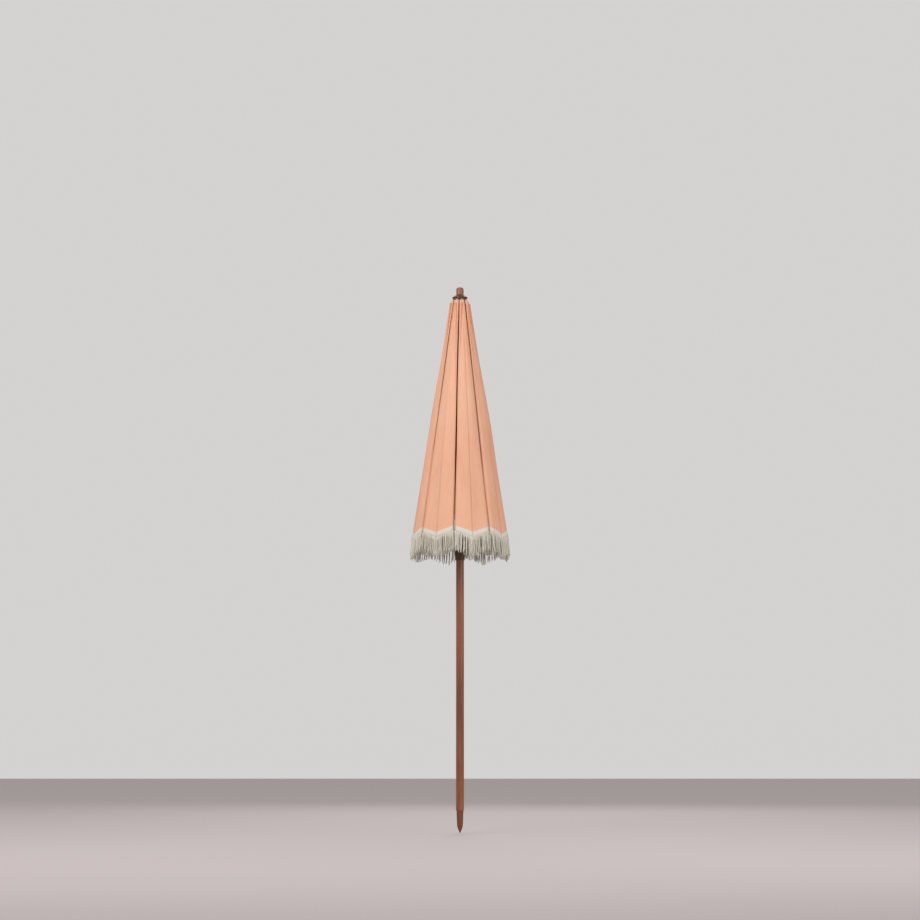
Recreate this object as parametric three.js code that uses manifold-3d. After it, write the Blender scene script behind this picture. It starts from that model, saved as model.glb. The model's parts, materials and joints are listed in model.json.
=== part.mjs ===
// A closed beach parasol with eight ribs and a fringed cloth canopy on a turned wooden pole.
// Millimetres, +Z up the pole. The origin is the point of the spike on the pole's axis.
// Each half panel of the canopy is a fixed facet beside its rib and two folding strips.
import * as THREE from 'three';
import * as BufferGeometryUtils from 'three/addons/utils/BufferGeometryUtils.js';
import Module from 'manifold-3d';

// Driving dimensions
const TOTAL_HEIGHT = 2000;
const POLE_RADIUS = 14.5;
const SPIKE_LENGTH = 81;
const RIB_COUNT = 8;
const FIRST_RIB_AZIMUTH = -29.5;
const HINGE_RADIUS = 22;
const HINGE_HEIGHT = 1950;
const RIB_LENGTH = 905;
const RIB_WIDTH = 6;
const RIB_DEPTH = 8;
const CLOSED_ANGLE = 9.3;
const OPEN_ANGLE = 77;
const STRUT_STATION = 450;
const STRUT_OFFSET = 9;
const STRUT_LENGTH = 460;
const STRUT_WIDTH = 7;
const STRUT_DEPTH = 7;
const RUNNER_PIVOT_RADIUS = 28;
const CLOTH_OFFSET = 5.5;
const CLOTH_EDGE = 890;
const FRINGE_DEPTH = 62;
const MOUTH_HALF_GAP = 11;
const FOLD_HALF_GAP = 5;
const SEAM_HALF_GAP = 1.2;
const SEAM_RADIUS = 160;
const STRIP_THICKNESS = 0.8;
const STRIP_INSET = 13;
const STRIP_TOP = 300;
const GAP = 0.3;

const DEGREE = Math.PI / 180;
const wasm = await Module();
wasm.setup();

const woodMaterial = () => new THREE.MeshStandardMaterial({ color: 0x96563a, roughness: 0.38 });
const darkWoodMaterial = () => new THREE.MeshStandardMaterial({ color: 0x5a2c18, roughness: 0.4 });
const ribMaterial = () => new THREE.MeshStandardMaterial({ color: 0xb98d62, roughness: 0.55 });
const clothMaterial = () => new THREE.MeshStandardMaterial({ color: 0xefb99a, roughness: 0.9 });
const wireMaterial = () => new THREE.MeshStandardMaterial({
  color: 0x9a9a95,
  roughness: 0.35,
  metalness: 1,
});

const parasol = new THREE.Group();

// Radial, tangential and up directions at an azimuth: 0 faces -Y and grows towards +X.
function radial(azimuth) {
  return new THREE.Vector3(Math.sin(azimuth * DEGREE), -Math.cos(azimuth * DEGREE), 0);
}

function tangent(azimuth) {
  return new THREE.Vector3(Math.cos(azimuth * DEGREE), Math.sin(azimuth * DEGREE), 0);
}

function placeAt(azimuth, radius, height, side = 0) {
  return radial(azimuth).multiplyScalar(radius).addScaledVector(tangent(azimuth), side).setZ(height);
}

// Direction of a rib that stands at an angle from straight down.
function ribDirection(azimuth, angle) {
  return radial(azimuth).multiplyScalar(Math.sin(angle * DEGREE)).setZ(-Math.cos(angle * DEGREE));
}

function ribNormal(azimuth, angle) {
  return radial(azimuth).multiplyScalar(Math.cos(angle * DEGREE)).setZ(Math.sin(angle * DEGREE));
}

function addMesh(name, geometry, material) {
  const mesh = new THREE.Mesh(geometry, material);
  mesh.name = name;
  parasol.add(mesh);
}

function toSolid(geometry) {
  const bare = geometry.clone();
  bare.deleteAttribute('normal');
  bare.deleteAttribute('uv');
  const merged = BufferGeometryUtils.mergeVertices(bare, 1e-4);
  const vertProperties = new Float32Array(merged.attributes.position.array);
  const triVerts = new Uint32Array(merged.index.array);
  return new wasm.Manifold(new wasm.Mesh({ numProp: 3, vertProperties, triVerts }));
}

function toGeometry(solid) {
  const mesh = solid.getMesh();
  const geometry = new THREE.BufferGeometry();
  geometry.setAttribute('position', new THREE.BufferAttribute(new Float32Array(mesh.vertProperties), 3));
  geometry.setIndex(new THREE.BufferAttribute(new Uint32Array(mesh.triVerts), 1));
  return geometry;
}

// A turned piece: a profile of [radius, height] points spun about the pole's axis.
function turned(profile, segments = 48) {
  const points = profile.map(([radius, height]) => new THREE.Vector2(radius, height));
  const geometry = new THREE.LatheGeometry(points, segments);
  geometry.rotateX(Math.PI / 2);
  return geometry;
}

// A box whose length runs from one point to another, with its width along a side direction.
function bar(start, end, side, width, depth) {
  const along = end.clone().sub(start);
  const length = along.length();
  const zAxis = along.normalize();
  const xAxis = side.clone().normalize();
  const yAxis = new THREE.Vector3().crossVectors(zAxis, xAxis);
  const geometry = new THREE.BoxGeometry(width, depth, length);
  geometry.translate(0, 0, length / 2);
  geometry.applyMatrix4(new THREE.Matrix4().makeBasis(xAxis, yAxis, zAxis));
  geometry.translate(start.x, start.y, start.z);
  return geometry;
}

// A round disc with its axis along a side direction.
function disc(centre, side, radius, width) {
  const geometry = new THREE.CylinderGeometry(radius, radius, width, 24);
  const turn = new THREE.Quaternion().setFromUnitVectors(new THREE.Vector3(0, 1, 0), side);
  geometry.applyQuaternion(turn);
  geometry.translate(centre.x, centre.y, centre.z);
  return geometry;
}

function joined(geometries) {
  return geometries.map(toSolid).reduce((sum, solid) => sum.add(solid));
}

// Pole, spike and finial
const crownBottom = HINGE_HEIGHT - 15;
const crownTop = HINGE_HEIGHT + 19;

function addPole() {
  const pole = [[0, SPIKE_LENGTH], [POLE_RADIUS - 1, SPIKE_LENGTH], [POLE_RADIUS, SPIKE_LENGTH + 1.5],
    [POLE_RADIUS, crownBottom - GAP], [0, crownBottom - GAP]];
  addMesh('pole', turned(pole), woodMaterial());
  const top = SPIKE_LENGTH - GAP;
  const spike = [[0, 0], [6, 13], [10.5, 27], [11.4, 45], [12.5, top - 1.5], [11.8, top], [0, top]];
  addMesh('spike_tip', turned(spike), darkWoodMaterial());
}

function addFinial() {
  const bottom = crownTop + GAP;
  const shoulder = TOTAL_HEIGHT - 9;
  const profile = [[0, bottom], [13, bottom], [14, bottom + 1.5], [14, shoulder]];
  const domeSteps = 6;
  for (let step = 1; step < domeSteps; step += 1) {
    const angle = (step / domeSteps) * 90 * DEGREE;
    profile.push([14 * Math.cos(angle), shoulder + (TOTAL_HEIGHT - shoulder) * Math.sin(angle)]);
  }
  profile.push([0, TOTAL_HEIGHT]);
  addMesh('finial', turned(profile), woodMaterial());
}

// Crown: a solid wooden hub with a slot for each rib and a groove for the hinge wire.
const WIRE_RADIUS = 1.2;

function wireRing(radius, height) {
  const ring = new THREE.TorusGeometry(radius, WIRE_RADIUS, 8, 64);
  ring.translate(0, 0, height);
  return ring;
}

function slotted(profile, slotInner, slotOuter, slotBottom, slotTop, slotWidth, grooveHeight, grooveInner) {
  let body = toSolid(turned(profile, 64));
  for (let index = 0; index < RIB_COUNT; index += 1) {
    const azimuth = ribAzimuth(index);
    const start = placeAt(azimuth, (slotInner + slotOuter) / 2, slotBottom);
    const end = placeAt(azimuth, (slotInner + slotOuter) / 2, slotTop);
    const slot = bar(start, end, tangent(azimuth), slotWidth, slotOuter - slotInner);
    body = body.subtract(toSolid(slot));
  }
  const half = WIRE_RADIUS + 0.5;
  const groove = [[grooveInner, grooveHeight - half], [slotOuter, grooveHeight - half],
    [slotOuter, grooveHeight + half], [grooveInner, grooveHeight + half], [grooveInner, grooveHeight - half]];
  return body.subtract(toSolid(turned(groove, 64)));
}

function ribAzimuth(index) {
  return FIRST_RIB_AZIMUTH + (index * 360) / RIB_COUNT;
}

function addCrown() {
  const profile = [[0, crownBottom], [20, crownBottom], [26, crownBottom + 4], [26, HINGE_HEIGHT + 6],
    [28.5, HINGE_HEIGHT + 8], [28.5, HINGE_HEIGHT + 10.5], [17, crownTop], [0, crownTop]];
  const body = slotted(profile, 16, 40, crownBottom - 5, HINGE_HEIGHT + 5.2, RIB_WIDTH + 1.2,
    HINGE_HEIGHT, HINGE_RADIUS - 2);
  addMesh('crown', toGeometry(body), darkWoodMaterial());
  addMesh('crown_hinge_wire', wireRing(HINGE_RADIUS, HINGE_HEIGHT), wireMaterial());
}

// Linkage: where the strut meets the rib, and where its foot meets the runner.
function strutPivot(azimuth, angle) {
  return placeAt(azimuth, HINGE_RADIUS, HINGE_HEIGHT)
    .addScaledVector(ribDirection(azimuth, angle), STRUT_STATION)
    .addScaledVector(ribNormal(azimuth, angle), -STRUT_OFFSET);
}

function runnerPivotHeight(angle) {
  const pivot = strutPivot(0, angle);
  const run = Math.hypot(pivot.x, pivot.y) - RUNNER_PIVOT_RADIUS;
  return pivot.z - Math.sqrt(STRUT_LENGTH ** 2 - run ** 2);
}

const runnerPivot = runnerPivotHeight(CLOSED_ANGLE);

function addRunner() {
  const core = 20;
  const flange = 39;
  const bore = POLE_RADIUS + 0.6;
  const profile = [[bore, runnerPivot - 64], [17, runnerPivot - 64], [18.5, runnerPivot - 40],
    [core, runnerPivot - 16], [flange - 4, runnerPivot - 12], [flange, runnerPivot - 7],
    [flange, runnerPivot + 7], [flange - 4, runnerPivot + 11], [core + 2, runnerPivot + 14],
    [core - 1, runnerPivot + 20], [bore, runnerPivot + 20], [bore, runnerPivot - 64]];
  const body = slotted(profile, core, flange + 8, runnerPivot - 30, runnerPivot + 30, STRUT_WIDTH + 1.4,
    runnerPivot, RUNNER_PIVOT_RADIUS - 2.2);
  addMesh('runner', toGeometry(body), darkWoodMaterial());
}

// A rib: a squared stave, rounded at the hinge, with a lug for its strut.
function addRib(index) {
  const azimuth = ribAzimuth(index);
  const side = tangent(azimuth);
  const hinge = placeAt(azimuth, HINGE_RADIUS, HINGE_HEIGHT);
  const along = ribDirection(azimuth, CLOSED_ANGLE);
  const tip = hinge.clone().addScaledVector(along, RIB_LENGTH);
  const pivot = strutPivot(azimuth, CLOSED_ANGLE);
  const inner = pivot.clone().addScaledVector(ribNormal(azimuth, CLOSED_ANGLE), STRUT_OFFSET - 1);
  const lug = [bar(pivot, inner, side, 2, 8.6), disc(pivot, side, 4.5, 2.1)];
  const knuckle = disc(hinge, side, RIB_DEPTH / 2 + 0.3, RIB_WIDTH + 0.3);
  const stave = [bar(hinge, tip, side, RIB_WIDTH, RIB_DEPTH), knuckle];
  const hole = disc(hinge, side, WIRE_RADIUS + 0.6, RIB_WIDTH + 4);
  const body = joined([...stave, ...lug]).subtract(toSolid(hole));
  addMesh(`rib_${index + 1}`, toGeometry(body), ribMaterial());
}

// A strut: forked over the rib's lug at the top, rounded at its foot in the runner.
function addStrut(index) {
  const azimuth = ribAzimuth(index);
  const side = tangent(azimuth);
  const top = strutPivot(azimuth, CLOSED_ANGLE);
  const foot = placeAt(azimuth, RUNNER_PIVOT_RADIUS, runnerPivot);
  const ends = [top, foot].map((centre) => disc(centre, side, STRUT_DEPTH / 2 + 0.4, STRUT_WIDTH + 0.3));
  const along = foot.clone().sub(top).normalize();
  const forkStart = top.clone().addScaledVector(along, -10);
  const forkEnd = top.clone().addScaledVector(along, 13);
  const body = joined([bar(top, foot, side, STRUT_WIDTH, STRUT_DEPTH), ...ends]);
  const fork = bar(forkStart, forkEnd, side, 2.8, STRUT_DEPTH + 6);
  addMesh(`strut_${index + 1}`, toGeometry(body.subtract(toSolid(fork))), ribMaterial());
}

// Canopy fold: every fold line of a half panel runs through the apex on the back of its rib.
function clothApex(azimuth, angle) {
  return placeAt(azimuth, HINGE_RADIUS, HINGE_HEIGHT)
    .addScaledVector(ribNormal(azimuth, angle), CLOTH_OFFSET);
}

// The flat open panel gives the angle from the rib to the seam, and the plane beside the rib.
function openPanel(azimuth, hand) {
  const apex = clothApex(azimuth, OPEN_ANGLE);
  const other = clothApex(azimuth + (hand * 360) / RIB_COUNT, OPEN_ANGLE);
  const rib = ribDirection(azimuth, OPEN_ANGLE);
  const otherRib = ribDirection(azimuth + (hand * 360) / RIB_COUNT, OPEN_ANGLE);
  const corner = apex.clone().addScaledVector(rib, CLOTH_EDGE);
  const otherCorner = other.clone().addScaledVector(otherRib, CLOTH_EDGE);
  const seam = corner.add(otherCorner).multiplyScalar(0.5).sub(apex);
  const seamAngle = rib.angleTo(seam);
  const across = seam.clone().addScaledVector(rib, -seam.dot(rib)).normalize();
  const tilt = Math.asin(-across.dot(ribNormal(azimuth, OPEN_ANGLE)));
  return { seamAngle, tilt, seamLength: seam.length() };
}

// Directions from the apex in the closed canopy: facet edge, inner fold and seam.
function closedFold(azimuth, hand) {
  const panel = openPanel(azimuth, hand);
  const apex = clothApex(azimuth, CLOSED_ANGLE);
  const rib = ribDirection(azimuth, CLOSED_ANGLE);
  const mouth = azimuth + (hand * 180) / RIB_COUNT;
  const across = tangent(azimuth).multiplyScalar(hand * Math.cos(panel.tilt))
    .addScaledVector(ribNormal(azimuth, CLOSED_ANGLE), -Math.sin(panel.tilt));
  const inFacet = (angle) => rib.clone().multiplyScalar(Math.cos(angle))
    .addScaledVector(across, Math.sin(angle));
  const sideOf = (direction) => {
    const point = apex.clone().addScaledVector(direction, CLOTH_EDGE);
    return -hand * point.dot(tangent(mouth));
  };
  let low = 0;
  let high = 10 * DEGREE;
  for (let step = 0; step < 40; step += 1) {
    const middle = (low + high) / 2;
    if (sideOf(inFacet(middle)) > MOUTH_HALF_GAP) {
      low = middle;
    } else {
      high = middle;
    }
  }
  const facetAngle = low;
  const facetEdge = inFacet(facetAngle);
  const level = HINGE_HEIGHT - CLOTH_EDGE * Math.cos(CLOSED_ANGLE * DEGREE);
  const seamLevel = HINGE_HEIGHT - panel.seamLength * Math.cos(CLOSED_ANGLE * DEGREE);
  const seam = placeAt(mouth, SEAM_RADIUS, seamLevel, -hand * SEAM_HALF_GAP).sub(apex).normalize();
  const foldAt = (radius) => placeAt(mouth, radius, level, -hand * FOLD_HALF_GAP).sub(apex).normalize();
  const needed = panel.seamAngle - facetAngle;
  let inside = 5;
  let outside = 150;
  for (let step = 0; step < 40; step += 1) {
    const middle = (inside + outside) / 2;
    const fold = foldAt(middle);
    if (facetEdge.angleTo(fold) + fold.angleTo(seam) > needed) {
      inside = middle;
    } else {
      outside = middle;
    }
  }
  return { apex, rib, facetEdge, fold: foldAt(inside), seam, facetAngle, panel };
}

// How far the straight hem lies from the apex at an angle from the rib, in the flat panel.
function hemDistance(panel, angle) {
  const { seamAngle, seamLength } = panel;
  const rise = CLOTH_EDGE - seamLength * Math.cos(seamAngle);
  const square = Math.atan(rise / (seamLength * Math.sin(seamAngle)));
  return (CLOTH_EDGE * Math.cos(square)) / Math.cos(square - angle);
}

// A strip: a thin plate between two fold lines, kept clear of both of them.
function stripGeometry(apex, from, to, fromEnd, toEnd) {
  const normal = new THREE.Vector3().crossVectors(from, to).normalize().multiplyScalar(STRIP_THICKNESS / 2);
  const edge = (line, distance, other) => {
    const inward = other.clone().addScaledVector(line, -other.dot(line)).normalize();
    return apex.clone().addScaledVector(line, distance).addScaledVector(inward, STRIP_INSET);
  };
  const corners = [edge(from, STRIP_TOP, to), edge(to, STRIP_TOP, from)];
  corners.push(edge(to, toEnd, from), edge(from, fromEnd, to));
  const low = corners.map((corner) => corner.clone().sub(normal));
  const high = corners.map((corner) => corner.clone().add(normal));
  const positions = [...low, ...high].flatMap((point) => point.toArray());
  const faces = [0, 1, 2, 0, 2, 3, 4, 6, 5, 4, 7, 6];
  for (let side = 0; side < 4; side += 1) {
    const next = (side + 1) % 4;
    faces.push(side, next + 4, next, side, side + 4, next + 4);
  }
  const geometry = new THREE.BufferGeometry();
  geometry.setAttribute('position', new THREE.Float32BufferAttribute(positions, 3));
  geometry.setIndex(faces);
  return geometry;
}

function addCanopyHalf(index, hand) {
  const sideName = hand > 0 ? 'right' : 'left';
  const closed = closedFold(ribAzimuth(index), hand);
  const foldAngle = closed.facetAngle + closed.facetEdge.angleTo(closed.fold);
  const facetEnd = hemDistance(closed.panel, closed.facetAngle) + FRINGE_DEPTH;
  const foldEnd = hemDistance(closed.panel, foldAngle) + FRINGE_DEPTH;
  const seamEnd = closed.panel.seamLength + FRINGE_DEPTH;
  const inner = stripGeometry(closed.apex, closed.facetEdge, closed.fold, facetEnd, foldEnd);
  const outer = stripGeometry(closed.apex, closed.fold, closed.seam, foldEnd, seamEnd);
  addMesh(`canopy_${index + 1}_${sideName}_inner`, inner, clothMaterial());
  addMesh(`canopy_${index + 1}_${sideName}_outer`, outer, clothMaterial());
}

addPole();
addFinial();
addCrown();
addRunner();
for (let index = 0; index < RIB_COUNT; index += 1) {
  addRib(index);
  addStrut(index);
  addCanopyHalf(index, -1);
  addCanopyHalf(index, 1);
}

export default parasol;
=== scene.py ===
"""A closed beach parasol: folded cloth canopy, cotton fringe and turned wood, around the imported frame."""
import json
import math
import random

import bpy
from mathutils import Matrix, Vector


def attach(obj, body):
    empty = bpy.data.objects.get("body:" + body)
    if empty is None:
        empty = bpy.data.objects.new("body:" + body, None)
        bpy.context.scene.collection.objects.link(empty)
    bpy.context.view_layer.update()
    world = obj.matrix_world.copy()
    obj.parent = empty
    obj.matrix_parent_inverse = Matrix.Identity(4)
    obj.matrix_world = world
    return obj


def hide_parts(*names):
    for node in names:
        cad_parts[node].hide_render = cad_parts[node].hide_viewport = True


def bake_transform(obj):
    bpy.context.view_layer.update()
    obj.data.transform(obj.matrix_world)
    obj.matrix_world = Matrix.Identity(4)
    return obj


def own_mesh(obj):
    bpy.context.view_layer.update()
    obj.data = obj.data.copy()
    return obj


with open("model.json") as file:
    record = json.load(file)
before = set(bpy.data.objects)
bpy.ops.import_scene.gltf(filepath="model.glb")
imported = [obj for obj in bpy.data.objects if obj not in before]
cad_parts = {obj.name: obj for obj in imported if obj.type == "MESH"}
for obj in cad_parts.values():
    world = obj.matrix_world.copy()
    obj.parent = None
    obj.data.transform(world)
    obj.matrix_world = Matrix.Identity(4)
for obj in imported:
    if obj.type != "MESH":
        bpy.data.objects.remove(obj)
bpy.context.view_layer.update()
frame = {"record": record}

random.seed(11)

# Canopy, in metres and radians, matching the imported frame
RIB_COUNT = 8
CLOTH_EDGE = 0.890
PANEL_HALF_ANGLE = math.radians(21.9)
CLOTH_TOP = 0.004
SEAM_TOP = 0.016
BAND_DEPTH = 0.022
STRAND_LENGTH = 0.074
STRAND_RADIUS = 0.0021
MOUTH_CLOSING = 0.0100
MOUTH_REACH = math.radians(1.9)
SEAM_OFFSET = 0.0089
SEAM_LEAN = math.radians(0.61)
RANGE_MARGIN = 0.5
ROUNDING = math.radians(0.55)
CLOTH_THICKNESS = 0.0007

# Fullness of the cloth beside a rib
FULLNESS = 0.0065
RIB_CLEARANCE = 0.002
SHORT_WAVE = 0.0016
LONG_WAVE = 0.0028

# Columns of faces across a sheet, and rows down the cloth and its band
FACE_COLUMNS = 16
PLEAT_COLUMNS = 22
CLOTH_ROWS = 46
BAND_ROWS = 2

# Fringe
OUTER_SPACING = 0.0026
HIDDEN_SPACING = 0.006
OUTER_RINGS = 6
HIDDEN_RINGS = 4
STRAND_SIDES = 4
STRAND_OVERLAP = 0.003
STRAND_SWAY = 0.005
STRAND_LEAN = 0.09

joints = {joint["name"]: joint for joint in frame["record"]["behaviour"]["joints"]}


# Materials
def new_material(name):
    material = bpy.data.materials.new(name)
    material.use_nodes = True
    tree = material.node_tree
    return material, tree, tree.nodes["Principled BSDF"]


def add_node(tree, kind, **values):
    node = tree.nodes.new(kind)
    for key, value in values.items():
        if key in node.inputs:
            node.inputs[key].default_value = value
        else:
            setattr(node, key, value)
    return node


def ramp(tree, source, stops):
    node = tree.nodes.new("ShaderNodeValToRGB")
    elements = node.color_ramp.elements
    while len(elements) < len(stops):
        elements.new(0.5)
    for element, (position, colour) in zip(elements, stops):
        element.position = position
        element.color = (*colour, 1)
    tree.links.new(source, node.inputs["Fac"])
    return node.outputs["Color"]


def object_coordinates(tree, scale):
    coordinates = tree.nodes.new("ShaderNodeTexCoord")
    mapping = tree.nodes.new("ShaderNodeMapping")
    mapping.inputs["Scale"].default_value = scale
    tree.links.new(coordinates.outputs["Object"], mapping.inputs["Vector"])
    return mapping.outputs["Vector"]


def add_bump(tree, shader, height, strength, distance):
    bump = add_node(tree, "ShaderNodeBump", Strength=strength, Distance=distance)
    tree.links.new(height, bump.inputs["Height"])
    tree.links.new(bump.outputs["Normal"], shader.inputs["Normal"])


def wood_material(name, dark, middle, light, roughness):
    material, tree, shader = new_material(name)
    grain = add_node(tree, "ShaderNodeTexNoise", Scale=1.0, Detail=6.0, Roughness=0.6)
    tree.links.new(object_coordinates(tree, (110, 110, 5)), grain.inputs["Vector"])
    patches = add_node(tree, "ShaderNodeTexNoise", Scale=1.0, Detail=3.0)
    tree.links.new(object_coordinates(tree, (25, 25, 3)), patches.inputs["Vector"])
    blended = add_node(tree, "ShaderNodeMix", data_type="FLOAT")
    blended.inputs[0].default_value = 0.45
    tree.links.new(grain.outputs["Fac"], blended.inputs[2])
    tree.links.new(patches.outputs["Fac"], blended.inputs[3])
    colour = ramp(tree, blended.outputs[0], [(0.34, dark), (0.5, middle), (0.66, light)])
    tree.links.new(colour, shader.inputs["Base Color"])
    shader.inputs["Roughness"].default_value = roughness
    shader.inputs["Coat Weight"].default_value = 0.12
    shader.inputs["Coat Roughness"].default_value = 0.25
    add_bump(tree, shader, grain.outputs["Fac"], 0.25, 0.0006)
    return material


def wire_material():
    material, tree, shader = new_material("drawn_wire")
    marks = add_node(tree, "ShaderNodeTexNoise", Scale=900.0, Detail=2.0)
    colour = ramp(tree, marks.outputs["Fac"], [(0.3, (0.38, 0.38, 0.36)), (0.7, (0.6, 0.6, 0.58))])
    tree.links.new(colour, shader.inputs["Base Color"])
    shader.inputs["Metallic"].default_value = 1.0
    shader.inputs["Roughness"].default_value = 0.35
    return material


def weave_height(tree, threads_per_metre):
    """Crossed threads along the two directions of the cloth's own UV map, which is in metres."""
    coordinates = tree.nodes.new("ShaderNodeUVMap")
    waves = []
    for direction in ("X", "Y"):
        wave = add_node(tree, "ShaderNodeTexWave", Scale=threads_per_metre / 3.0, Distortion=0.6)
        wave.bands_direction = direction
        tree.links.new(coordinates.outputs["UV"], wave.inputs["Vector"])
        waves.append(wave)
    joined = add_node(tree, "ShaderNodeMath", operation="MAXIMUM")
    for index, wave in enumerate(waves):
        tree.links.new(wave.outputs["Fac"], joined.inputs[index])
    return joined.outputs[0]


def cloth_material(name, low, middle, high, threads_per_metre, strength):
    material, tree, shader = new_material(name)
    fading = add_node(tree, "ShaderNodeTexNoise", Scale=7.0, Detail=5.0, Roughness=0.6)
    tree.links.new(object_coordinates(tree, (1, 1, 0.45)), fading.inputs["Vector"])
    colour = ramp(tree, fading.outputs["Fac"], [(0.3, low), (0.5, middle), (0.72, high)])
    tree.links.new(colour, shader.inputs["Base Color"])
    shader.inputs["Roughness"].default_value = 0.88
    shader.inputs["Sheen Weight"].default_value = 0.04
    shader.inputs["Sheen Roughness"].default_value = 0.5
    add_bump(tree, shader, weave_height(tree, threads_per_metre), strength, 0.0005)
    return material


def strand_material():
    material, tree, shader = new_material("cotton_strands")
    shades = add_node(tree, "ShaderNodeTexNoise", Scale=1.0, Detail=3.0)
    tree.links.new(object_coordinates(tree, (220, 220, 18)), shades.inputs["Vector"])
    stops = [(0.3, (0.55, 0.51, 0.40)), (0.5, (0.69, 0.66, 0.56)), (0.7, (0.78, 0.76, 0.67))]
    tree.links.new(ramp(tree, shades.outputs["Fac"], stops), shader.inputs["Base Color"])
    shader.inputs["Roughness"].default_value = 0.92
    shader.inputs["Sheen Weight"].default_value = 0.1
    twist = add_node(tree, "ShaderNodeTexWave", Scale=260.0, Distortion=2.0)
    twist.bands_direction = "DIAGONAL"
    tree.links.new(object_coordinates(tree, (1, 1, 1)), twist.inputs["Vector"])
    add_bump(tree, shader, twist.outputs["Fac"], 0.5, 0.0006)
    return material


pole_wood = wood_material(
    "pole_wood", (0.13, 0.034, 0.010), (0.24, 0.070, 0.026), (0.34, 0.115, 0.050), 0.36)
# The spike is the pole's own wood; this darker copy of it is painted shade.
painted_shade_spike_wood = wood_material(
    "painted_shade_spike_wood", (0.08, 0.020, 0.005), (0.16, 0.042, 0.010), (0.23, 0.066, 0.020), 0.42)
dark_wood = wood_material(
    "dark_wood", (0.04, 0.012, 0.006), (0.085, 0.026, 0.012), (0.15, 0.05, 0.022), 0.4)
rib_wood = wood_material(
    "rib_wood", (0.3, 0.17, 0.08), (0.44, 0.27, 0.14), (0.56, 0.37, 0.21), 0.6)
wire = wire_material()
cloth = cloth_material(
    "canopy_cloth", (0.76, 0.37, 0.225), (0.81, 0.43, 0.275), (0.85, 0.48, 0.32), 1300, 0.35)
band = cloth_material(
    "fringe_band", (0.60, 0.57, 0.48), (0.70, 0.68, 0.59), (0.76, 0.74, 0.66), 420, 0.8)
strand_cotton = strand_material()

NODE_MATERIALS = {"pole": pole_wood, "finial": pole_wood, "spike_tip": painted_shade_spike_wood, "crown": dark_wood,
                  "crown_hinge_wire": wire, "runner": dark_wood}
for number in range(1, RIB_COUNT + 1):
    NODE_MATERIALS[f"rib_{number}"] = rib_wood
    NODE_MATERIALS[f"strut_{number}"] = rib_wood
for node, material in NODE_MATERIALS.items():
    cad_object = bpy.data.objects[node]
    cad_object.data.materials.clear()
    cad_object.data.materials.append(material)


# Canopy: each half panel is a facet beside its rib, an inner strip and an outer strip
def square_part(vector, line):
    return (vector - line * vector.dot(line)).normalized()


def turned_by(vector, line, angle):
    return Matrix.Rotation(angle, 3, line) @ vector


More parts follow.
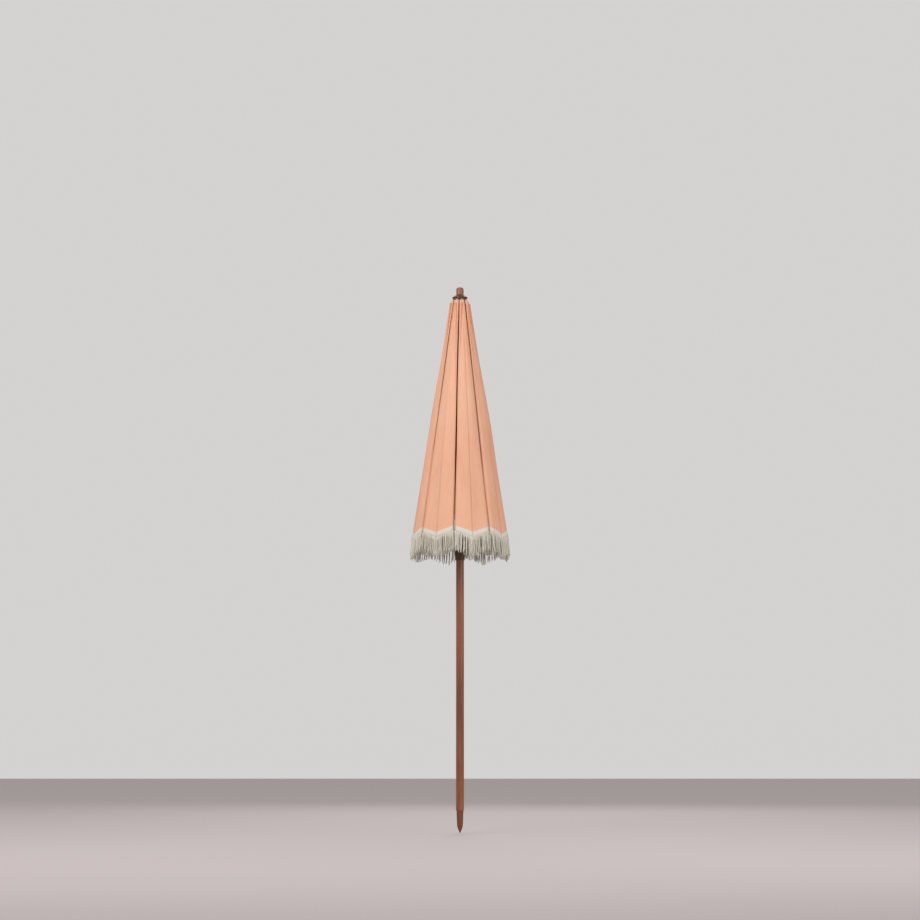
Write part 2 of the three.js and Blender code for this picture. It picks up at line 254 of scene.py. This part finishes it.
class HalfPanel:
    """The closed fold of half a panel, read from the joints of its two strips."""

    def __init__(self, number, side):
        self.number = number
        self.side = side
        self.rib_body = f"rib_{number}"
        self.inner = f"canopy_{number}_{side}_inner"
        self.outer = f"canopy_{number}_{side}_outer"
        inner_joint = joints[self.inner + "_fold"]
        outer_joint = joints[self.outer + "_fold"]
        self.apex = Vector(inner_joint["pos_m"])
        self.edge = Vector(inner_joint["axis"]).normalized()
        self.fold = Vector(outer_joint["axis"]).normalized()
        open_turn = math.radians(strongest(inner_joint["range_deg"]))
        inner_way = square_part(self.fold, self.edge)
        facet_way = -turned_by(inner_way, self.edge, open_turn)
        self.facet_way = facet_way
        rib_joint = joints[self.rib_body + "_hinge"]
        hinge_axis = Vector(rib_joint["axis"])
        facet_normal = self.edge.cross(facet_way).normalized()
        self.rib = turned_by(self.edge, facet_normal, self.facet_turn(hinge_axis))
        self.facet_angle = self.rib.angle(self.edge)
        self.mouth_way = -facet_way
        self.fold_angle = self.facet_angle + self.edge.angle(self.fold)
        self.seam_angle = PANEL_HALF_ANGLE + SEAM_LEAN
        open_turn = math.radians(strongest(outer_joint["range_deg"]))
        back_way = square_part(self.edge, self.fold)
        self.outer_way = turned_by(-back_way, self.fold, -open_turn)

    def facet_turn(self, hinge_axis):
        """The turn in the facet's plane that brings its edge onto the rib, square to the hinge."""
        along = self.edge.dot(hinge_axis)
        across = self.facet_way.dot(hinge_axis)
        return math.atan(-along / across)

    def direction(self, angle):
        """Where the cloth at an angle from the rib points in the closed canopy, seen from the apex."""
        if angle <= self.facet_angle:
            turn = self.facet_angle - angle
            return self.edge * math.cos(turn) + self.facet_way * math.sin(turn)
        if angle <= self.fold_angle:
            turn = angle - self.facet_angle
            return self.edge * math.cos(turn) + square_part(self.fold, self.edge) * math.sin(turn)
        turn = angle - self.fold_angle
        return self.fold * math.cos(turn) + self.outer_way * math.sin(turn)

    def rounded_direction(self, angle):
        samples = 5
        total = Vector((0, 0, 0))
        room = min(ROUNDING, max(angle, 0.0001))
        for index in range(samples):
            offset = room * (2 * index / (samples - 1) - 1)
            total += self.direction(angle + offset)
        return total.normalized()

    def hem(self, angle):
        """How far the straight hem lies from the apex."""
        return CLOTH_EDGE * math.cos(PANEL_HALF_ANGLE) / math.cos(PANEL_HALF_ANGLE - angle)

    def seam_at(self, distance):
        """The angle of the seam in mid-panel, which runs straight past the apex at a small offset."""
        return PANEL_HALF_ANGLE + math.asin(SEAM_OFFSET / distance)

    def outward(self, angle, distance):
        """The soft outward fullness of the facet, with slow waves down its length."""
        if angle > self.facet_angle:
            return 0.0
        share = distance / CLOTH_EDGE
        across = angle / self.facet_angle
        phase = self.number * 1.7 + (2.3 if self.side == "left" else 0.0)
        short_wave = SHORT_WAVE * math.sin(share * 9.0 + phase)
        long_wave = LONG_WAVE * math.sin(share * 4.0 + phase * 2.1)
        wave = short_wave + long_wave
        full = FULLNESS * math.sin(math.pi * min(share, 1.0)) + RIB_CLEARANCE
        return (full + wave * math.sin(math.pi * across)) * (1 - across ** 3)

    def closing(self, angle, distance):
        """How far the rolled edge leans over the mouth, so that the fold shows as a thin line."""
        lean = 0.94 + 0.06 * math.sin(distance * 11 + self.number * 2.1)
        if angle <= self.facet_angle:
            return MOUTH_CLOSING * lean * (angle / self.facet_angle) ** 2
        near = max(0.0, 1 - (angle - self.facet_angle) / MOUTH_REACH)
        return MOUTH_CLOSING * lean * near * near * (3 - 2 * near)

    def point(self, angle, distance):
        place = self.apex + self.rounded_direction(angle) * distance
        radial = Vector((self.apex.x, self.apex.y, 0)).normalized()
        closing = self.mouth_way * self.closing(angle, distance)
        return place + radial * self.outward(angle, distance) + closing


def strongest(limits):
    """The limit away from rest, in degrees, without the margin that it may run past the open pose."""
    limit = max(limits, key=abs)
    return limit - math.copysign(RANGE_MARGIN, limit)


def area_between(panel, low, high):
    steps = 20
    width = (high - low) / steps
    reach = sum(panel.hem(low + (index + 0.5) * width) + BAND_DEPTH for index in range(steps)) / steps
    return 0.5 * (reach ** 2 - CLOTH_TOP ** 2) * (high - low)


def sheet_mesh(name, panel, low, high, columns, to_seam=False):
    """A sheet of cloth and header band between two angles, or from one angle to the seam in mid-panel."""
    top = SEAM_TOP if to_seam else CLOTH_TOP
    vertices = []
    uvs = []
    for column in range(columns + 1):
        hem = panel.hem(low + (high - low) * column / columns)
        distances = [top + (hem - top) * row / CLOTH_ROWS for row in range(CLOTH_ROWS + 1)]
        distances += [hem + BAND_DEPTH * (row + 1) / BAND_ROWS for row in range(BAND_ROWS)]
        for distance in distances:
            limit = panel.seam_at(distance) if to_seam else high
            angle = low + (limit - low) * column / columns
            vertices.append(panel.point(angle, distance))
            uvs.append((distance * math.sin(angle), distance * math.cos(angle)))
    total = CLOTH_ROWS + BAND_ROWS + 1
    faces = []
    for column in range(columns):
        for row in range(total - 1):
            start = column * total + row
            face = (start, start + 1, start + total + 1, start + total)
            faces.append(face if panel.side == "right" else face[::-1])
    mesh = bpy.data.meshes.new(name)
    mesh.from_pydata(vertices, [], faces)
    layer = mesh.uv_layers.new(name="UVMap")
    for loop in mesh.loops:
        layer.data[loop.index].uv = uvs[loop.vertex_index]
    mesh.materials.append(cloth)
    mesh.materials.append(band)
    for face in mesh.polygons:
        face.use_smooth = True
        face.material_index = 1 if face.index % (total - 1) >= CLOTH_ROWS else 0
    piece = bpy.data.objects.new(name, mesh)
    bpy.context.collection.objects.link(piece)
    return piece


def thicken(piece):
    solid = piece.modifiers.new("thickness", "SOLIDIFY")
    solid.thickness = CLOTH_THICKNESS
    solid.offset = 0


def blend_at(piece):
    """Bakes the sheet's placement into its mesh."""
    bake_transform(piece)


def declare_sheet(panel, low, high, node):
    area = area_between(panel, low, high)
    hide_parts(node)


def add_sheets(panel):
    middle = (panel.facet_angle + panel.fold_angle) / 2
    stem = f"cloth_{panel.number}_{panel.side}"

    shell = sheet_mesh(stem + "_face", panel, 0.0, middle, FACE_COLUMNS)
    thicken(shell)
    blend_at(shell)

    pleat = sheet_mesh(stem + "_pleat", panel, middle, panel.seam_angle, PLEAT_COLUMNS, True)
    thicken(pleat)
    blend_at(pleat)

    declare_sheet(panel, 0.0, middle, panel.inner)
    declare_sheet(panel, middle, panel.seam_angle, panel.outer)


def strand_path(panel, angle, hem_way, rings):
    """Centre points, radii and direction of one strand, which hangs from the band with a random lean."""
    root = panel.point(angle, panel.hem(angle) + BAND_DEPTH - STRAND_OVERLAP)
    lean_x = random.uniform(-STRAND_LEAN, STRAND_LEAN)
    lean_y = random.uniform(-STRAND_LEAN, STRAND_LEAN)
    lean = Vector((lean_x, lean_y, -1.0)).normalized()
    drop = panel.direction(angle).lerp(lean, 0.6).normalized()
    length = STRAND_LENGTH * random.uniform(0.86, 1.04)
    sway = hem_way * random.uniform(-STRAND_SWAY, STRAND_SWAY)
    centres = []
    radii = []
    for ring in range(rings + 1):
        share = ring / rings
        centres.append(root + drop * (length * share) + sway * math.sin(share * 3.0))
        radii.append(STRAND_RADIUS * (1.0 - 0.35 * share))
    return centres, radii, drop


def add_tube(vertices, faces, centres, radii, side_a, side_b):
    """Adds a closed tube to the lists of vertices and faces."""
    first = len(vertices)
    sides = STRAND_SIDES
    last = first + (len(centres) - 1) * sides
    for centre, radius in zip(centres, radii):
        for corner in range(sides):
            turn = 2 * math.pi * corner / sides
            across = side_a * (math.cos(turn) * radius) + side_b * (math.sin(turn) * radius)
            vertices.append(centre + across)
    for start in range(first, last, sides):
        for corner in range(sides):
            follow = (corner + 1) % sides
            upper = (start + corner, start + follow)
            lower = (start + sides + follow, start + sides + corner)
            faces.append(upper + lower)
    faces.append(tuple(first + corner for corner in reversed(range(sides))))
    faces.append(tuple(last + corner for corner in range(sides)))


def add_strands(panel, name, body, low, high, spacing, rings):
    """Loose strands along one straight stretch of the hem."""
    vertices = []
    faces = []
    count = max(2, round((high - low) * CLOTH_EDGE / spacing))
    hem_start = panel.point(low, panel.hem(low) + BAND_DEPTH)
    hem_end = panel.point(high, panel.hem(high) + BAND_DEPTH)
    hem_way = (hem_end - hem_start).normalized()
    plane_way = square_part(panel.direction((low + high) / 2), hem_way)
    under = hem_way.cross(plane_way)
    if panel.side == "left":
        under = -under
    for index in range(count):
        angle = low + (high - low) * (index + 0.5) / count
        centres, radii, drop = strand_path(panel, angle, hem_way, rings)
        add_tube(vertices, faces, centres, radii, hem_way, drop.cross(hem_way).normalized())
    mesh = bpy.data.meshes.new(name)
    mesh.from_pydata(vertices, [], faces)
    mesh.materials.append(strand_cotton)
    for face in mesh.polygons:
        face.use_smooth = True
    piece = bpy.data.objects.new(name, mesh)
    bpy.context.collection.objects.link(piece)
    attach(piece, body)
    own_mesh(piece)


def add_fringe(panel):
    stem = f"fringe_{panel.number}_{panel.side}"
    stretches = [
        ("_facet", panel.rib_body, 0.0, panel.facet_angle, OUTER_SPACING, OUTER_RINGS),
        ("_inner", panel.inner, panel.facet_angle, panel.fold_angle, HIDDEN_SPACING, HIDDEN_RINGS),
        ("_outer", panel.outer, panel.fold_angle, panel.seam_angle, HIDDEN_SPACING, HIDDEN_RINGS),
    ]
    for ending, body, low, high, spacing, rings in stretches:
        add_strands(panel, stem + ending, body, low, high, spacing, rings)


for number in range(1, RIB_COUNT + 1):
    for side in ("left", "right"):
        panel = HalfPanel(number, side)
        add_sheets(panel)
        add_fringe(panel)


# Stage, light and camera
CAMERA_DISTANCE = 8.0
CAMERA_HEIGHT = 0.30
CAMERA_PITCH = 7.5
CAMERA_LENS = 86.0


def add_stage():
    bpy.ops.mesh.primitive_plane_add(size=30, location=(0, 0, -0.001))
    floor = bpy.context.object
    floor.name = "floor"
    material, _, shader = new_material("floor")
    shader.inputs["Base Color"].default_value = (0.47, 0.415, 0.41, 1)
    shader.inputs["Roughness"].default_value = 0.8
    floor.data.materials.append(material)
    world = bpy.data.worlds.new("studio")
    bpy.context.scene.world = world
    bpy.context.scene.view_settings.view_transform = "Standard"
    world.use_nodes = True
    background = world.node_tree.nodes["Background"]
    background.inputs["Color"].default_value = (0.66, 0.645, 0.64, 1)
    background.inputs["Strength"].default_value = 1.0


def add_area_light(name, location, target, size, power):
    light = bpy.data.lights.new(name, "AREA")
    light.size = size
    light.energy = power
    lamp = bpy.data.objects.new(name, light)
    lamp.location = location
    lamp.rotation_euler = (Vector(target) - Vector(location)).to_track_quat("-Z", "Y").to_euler()
    bpy.context.collection.objects.link(lamp)


def add_camera():
    lens_data = bpy.data.cameras.new("camera")
    lens_data.sensor_width = 36
    lens_data.lens = CAMERA_LENS
    camera = bpy.data.objects.new("camera", lens_data)
    camera.location = (0, -CAMERA_DISTANCE, CAMERA_HEIGHT)
    camera.rotation_euler = (math.radians(90 + CAMERA_PITCH), 0, 0)
    bpy.context.collection.objects.link(camera)
    bpy.context.scene.camera = camera


add_stage()
add_area_light("key", (-2.2, -3.0, 3.4), (0, 0, 1.1), 2.5, 85)
add_area_light("fill", (2.6, -2.4, 2.0), (0, 0, 1.0), 2.5, 32)
add_area_light("back", (0.5, 3.0, 3.0), (0, 0, 1.2), 2.5, 45)
add_camera()
